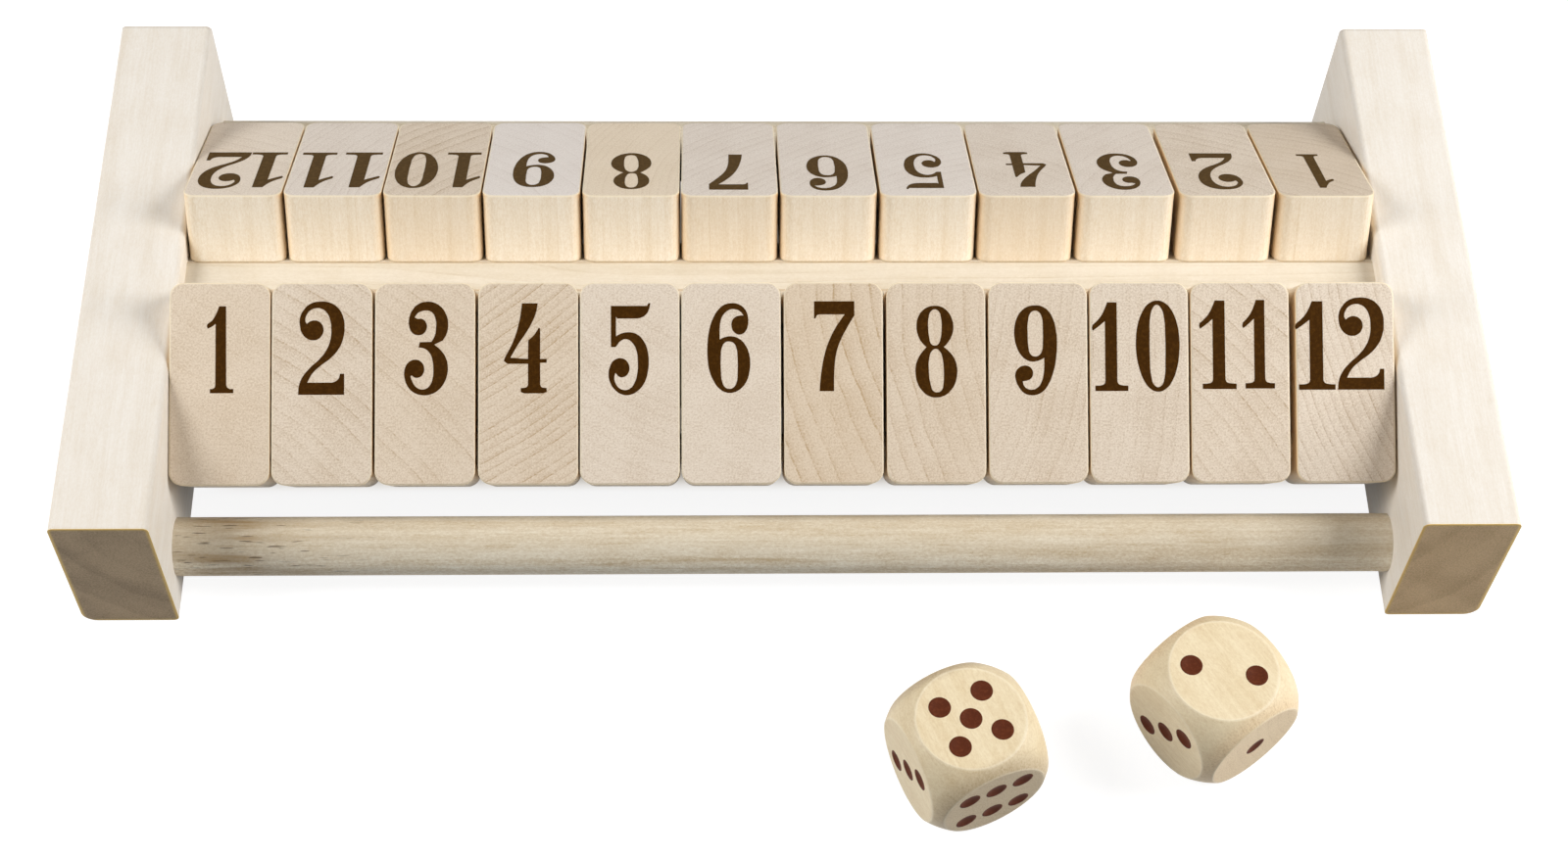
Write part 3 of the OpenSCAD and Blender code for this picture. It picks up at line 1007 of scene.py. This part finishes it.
@dataclass
class Studio:
    """Table, light and camera."""

    eye: tuple[float, float, float] = (-17.01, -320.67, 481.35)
    yaw: float = 3.296
    pitch: float = 57.75
    roll: float = 2.65
    focal_px: float = 2701.4

    def table(self) -> None:
        """Lays a plain pale table that keeps a soft shadow, with painted shade on the place under the game."""
        shape = bmesh.new()
        bmesh.ops.create_grid(shape, x_segments=1, y_segments=1, size=3.0)
        graph = Graph("pale_table")
        rays = graph.node("ShaderNodeLightPath", {}, {})
        glossy, through = (Socket(graph, rays.outputs[f"Is {kind} Ray"]) for kind in ("Glossy", "Transmission"))
        seen = Socket(graph, rays.outputs["Is Camera Ray"]).math("MAXIMUM", glossy).math("MAXIMUM", through)
        color = graph.mix(seen, (0.5, 0.5, 0.5), (0.28, 0.28, 0.28))
        x, y, _ = graph.axes(graph.place(Vector((0, 0, 0)), (0, 0, 0)))
        # The place under the game is painted darker: painted shade, warmed as if by light bounced off the wood.
        painted_shade_under = abs(x).step(124.0, 114.0) * y.step(-33.5, -26.0) * y.step(53.0, 38.0)
        far = graph.length(graph.join(x, y, 0.0)).step(450.0, 1100.0)
        matt = graph.node("ShaderNodeBsdfDiffuse", {}, {"Color": color})
        level = seen * (far * 0.1 - painted_shade_under * 0.78 + 0.9)
        shade = graph.mix(painted_shade_under, (1.0, 1.0, 1.0), (1.0, 0.88, 0.72))
        lit = graph.mix(level, (0.0, 0.0, 0.0), shade)
        glow = graph.node("ShaderNodeEmission", {}, {"Color": lit, "Strength": 1.0})
        both = graph.node("ShaderNodeAddShader", {}, {0: matt.outputs[0], 1: glow.outputs[0]})
        graph.node("ShaderNodeOutputMaterial", {}, {"Surface": both.outputs[0]})
        made = Piece.from_bmesh("table", shape, graph.material)

    def lamp(self, name: str, at: tuple[float, float, float], size: float, watts: float) -> None:
        """Hangs a soft square lamp that points at the game.

        Args:
            name: The lamp's name.
            at: Its place in metres.
            size: The side of its face in metres.
            watts: Its power.
        """
        data = bpy.data.lights.new(name, "AREA")
        data.shape = "SQUARE"
        data.size = size
        data.energy = watts
        made = bpy.data.objects.new(name, data)
        made.location = at
        aim = Vector((0.0, -0.02, 0.02)) - Vector(at)
        made.rotation_euler = aim.to_track_quat("-Z", "Y").to_euler()
        bpy.context.scene.collection.objects.link(made)

    def light(self) -> None:
        """Sets up the lamps and the white surroundings."""
        self.lamp("left_softbox", (-0.538, -0.04, 0.538), 0.3, 3.25)
        self.lamp("right_softbox", (0.538, -0.04, 0.538), 0.3, 3.8)
        self.lamp("left_low_softbox", (-0.75, -0.1, 0.3), 0.25, 1.4)
        self.lamp("right_low_softbox", (0.75, -0.1, 0.3), 0.25, 2.25)
        world = bpy.data.worlds.new("white_studio")
        bpy.context.scene.world = world
        world.use_nodes = True
        nodes, links = world.node_tree.nodes, world.node_tree.links
        nodes.clear()
        rays = nodes.new("ShaderNodeLightPath")
        seen = rays.outputs["Is Camera Ray"]
        for kind in ("Is Glossy Ray", "Is Transmission Ray"):
            either = nodes.new("ShaderNodeMath")
            either.operation = "MAXIMUM"
            links.new(seen, either.inputs[0])
            links.new(rays.outputs[kind], either.inputs[1])
            seen = either.outputs[0]
        level = nodes.new("ShaderNodeMapRange")
        level.inputs["To Min"].default_value = 0.008
        level.inputs["To Max"].default_value = 1.0
        links.new(seen, level.inputs["Value"])
        glow = nodes.new("ShaderNodeBackground")
        glow.inputs["Color"].default_value = (1.0, 1.0, 1.0, 1.0)
        links.new(level.outputs[0], glow.inputs["Strength"])
        out = nodes.new("ShaderNodeOutputWorld")
        links.new(glow.outputs[0], out.inputs["Surface"])

    def camera(self) -> None:
        """Stands the camera where the photograph was taken from."""
        yaw, pitch, roll = (math.radians(a) for a in (self.yaw, self.pitch, self.roll))
        ahead = Vector((math.sin(yaw), math.cos(yaw), 0))
        right = Vector((math.cos(yaw), -math.sin(yaw), 0))
        up = Vector((0, 0, 1))
        view = math.cos(pitch) * ahead - math.sin(pitch) * up
        lift = math.sin(pitch) * ahead + math.cos(pitch) * up
        across = math.cos(roll) * right + math.sin(roll) * lift
        upright = -math.sin(roll) * right + math.cos(roll) * lift
        data = bpy.data.cameras.new("photo_camera")
        data.sensor_fit = "HORIZONTAL"
        data.sensor_width = 36.0
        data.lens = self.focal_px / PHOTO_SIZE[0] * data.sensor_width
        data.clip_start = 0.01
        made = bpy.data.objects.new("photo_camera", data)
        axes = Matrix((across, upright, -view)).transposed().to_4x4()
        made.matrix_world = Matrix.Translation(Vector(self.eye) * MM) @ axes
        bpy.context.scene.collection.objects.link(made)
        bpy.context.scene.camera = made

    def build(self) -> None:
        """Sets up table, light, camera and view."""
        self.table()
        self.light()
        self.camera()
        bpy.context.scene.view_settings.view_transform = "Standard"


def main() -> None:
    """Builds the looks of the whole game."""
    logging.basicConfig(level=logging.INFO, format="%(name)s: %(message)s")
    Studio().build()
    Timber().build()
    warm, pale, cool_sheen = srgb(214, 184, 140), srgb(248, 236, 222), srgb(242, 239, 240)
    TileRow(
        Row.FRONT,
        cuts=(
            Rings(60.0, 90.0, 4.0, 0.18, 0.1),
            Rings(232.0, 110.0, 2.9, 0.6, 0.3, 0.5),
            Rings(228.0, 120.0, 2.7, 0.5, 0.7, 0.5),
            Rings(124.0, 140.0, 1.8, 1.1, 0.2, 0.4),
            Rings(60.0, 60.0, 2.6, 0.22, 0.5),
            Rings(60.0, 90.0, 3.4, 0.12, 0.0),
            Rings(18.0, 100.0, 3.6, 1.0, 0.4, 0.5),
            Rings(14.0, 95.0, 3.2, 0.6, 0.8),
            Rings(165.0, 110.0, 2.2, 0.42, 0.2),
            Rings(176.0, 120.0, 2.6, 0.3, 0.6),
            Rings(222.0, 80.0, 2.9, 0.6, 0.9, 0.6),
            Rings(20.0, 140.0, 1.8, 0.95, 0.1),
        ),
        tints={
            1: (0.16, warm), 2: (0.05, warm), 3: (0.14, warm), 4: (0.16, warm), 5: (0.12, pale), 6: (0.12, pale),
            7: (0.26, warm), 8: (0.16, warm), 9: (0.06, warm), 11: (0.05, warm), 12: (0.08, pale),
        },
        honey=(0.0,) * 12,
        rise=(0.0,) * 12,
        aside=(-0.9, -0.3, -0.4, -1.4, -1.0, 0.0, -1.1, -2.3, -2.9, -2.5, -3.8, -8.0),
    ).build()
    TileRow(
        Row.REAR,
        cuts=(
            Rings(60.0, 80.0, 2.4, 0.75, 0.3),
            Rings(55.0, 90.0, 2.8, 0.55, 0.6),
            Rings(140.0, 90.0, 3.0, 0.4, 0.1),
            Rings(50.0, 90.0, 3.0, 0.35, 0.0),
            Rings(120.0, 80.0, 3.0, 0.4, 0.5),
            Rings(135.0, 90.0, 2.6, 0.4, 0.4),
            Rings(135.0, 120.0, 2.4, 0.6, 0.2),
            Rings(165.0, 90.0, 1.6, 0.55, 0.8),
            Rings(40.0, 90.0, 2.8, 0.5, 0.3),
            Rings(140.0, 100.0, 3.0, 0.85, 0.6),
            Rings(160.0, 110.0, 1.8, 0.6, 0.1),
            Rings(60.0, 90.0, 3.4, 0.4, 0.7),
        ),
        # On the rear row the cool mix on the number faces is partly each tile's own tone and partly a painted sheen of
        # the white surroundings.
        tints={
            1: (0.4, srgb(204, 184, 158)), 3: (0.2, cool_sheen), 4: (0.12, cool_sheen), 5: (0.34, cool_sheen), 6: (0.26, cool_sheen), 7: (0.24, cool_sheen),
            8: (0.4, srgb(244, 224, 192)), 9: (0.44, cool_sheen), 10: (0.08, warm), 11: (0.24, cool_sheen), 12: (0.24, pale),
        },
        honey=(0.1, 0.1, 0.05, 0.22, 0.0, 0.05, 0.16, 0.0, 0.0, 0.16, 0.04, 0.0),
        rise=(-3.4, -4.0, -2.5, -8.8, -2.0, 2.2, -2.3, 1.5, -4.7, -6.2, -9.3, -7.8),
        aside=(-2.5, 1.6, -2.6, -5.7, 1.0, 1.8, -1.1, -1.0, -0.1, -0.3, -1.4, -6.8),
        numerals=Numerals(stretch=1.05, numbers=REAR_NUMBERS),
    ).build()
    # The left die's cut ends are made darker and the right die's paler, as painted shade and painted light on their
    # near faces.
    shaded_die_wood = replace(DIE_WOOD, end_pale=srgb(208, 189, 156), end_deep=srgb(168, 142, 103))
    lit_die_wood = replace(DIE_WOOD, end_pale=srgb(236, 213, 176), end_deep=srgb(196, 165, 120))
    Die("left_die", 23.2, False, Rings(30.0, 60.0, 2.4, 0.3, 0.2), shaded_die_wood).build()
    Die("right_die", 34.5, True, Rings(110.0, 70.0, 2.6, 0.25, 0.5), lit_die_wood).build()


if __name__ == "__main__":
    main()
